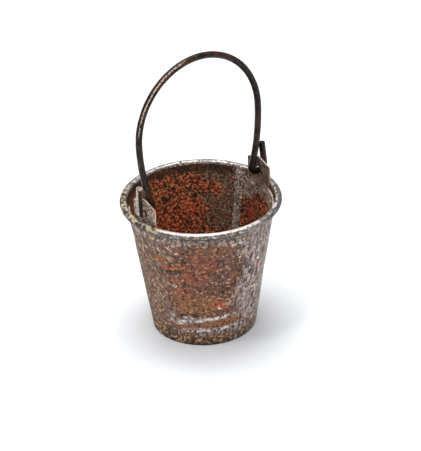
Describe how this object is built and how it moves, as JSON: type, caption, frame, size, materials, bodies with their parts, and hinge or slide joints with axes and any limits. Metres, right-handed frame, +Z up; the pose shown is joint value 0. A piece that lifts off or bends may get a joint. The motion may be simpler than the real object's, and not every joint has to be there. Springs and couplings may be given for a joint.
{
  "type": "pail",
  "caption": "Small tapered sheet-steel pail with a wired rim, riveted ears and a swinging round-rod bail, its zinc coat rusted.",
  "frame": {"origin": "centre of the ring that the pail stands on", "axes": "+Z up along the pail's axis, X parallel to the bail's pivot axis, which passes 3.5 mm to the -Y side of the pail's axis, +X towards the ear beside the lap seam"},
  "size_m": [0.14, 0.14, 0.2579],
  "materials": {
    "body_sheet": "old galvanised steel, grey zinc worn through to red-brown rust",
    "rim_wire": "dull drawn wire, hidden in the rim",
    "bottom_sheet": "rusted galvanised steel",
    "ear_sheet": "grey zinc with rust stains",
    "rivet_steel": "dull, rust-stained",
    "bail_iron": "dark brown-black iron rod, handled smooth"
  },
  "bodies": {
    "pail": {"body_wall": "body_sheet", "rim_wire": "rim_wire", "bottom_plate": "bottom_sheet", "ear_left": "ear_sheet", "ear_right": "ear_sheet", "rivets_left": "rivet_steel", "rivets_right": "rivet_steel"},
    "bail": {"bail": "bail_iron"}
  },
  "joints": [
    {"name": "bail_swing", "type": "hinge", "parent": "pail", "child": "bail", "pos_m": [0, -0.0035, 0.1293], "axis": [1, 0, 0], "range_deg": [-91, 96]}
  ]
}
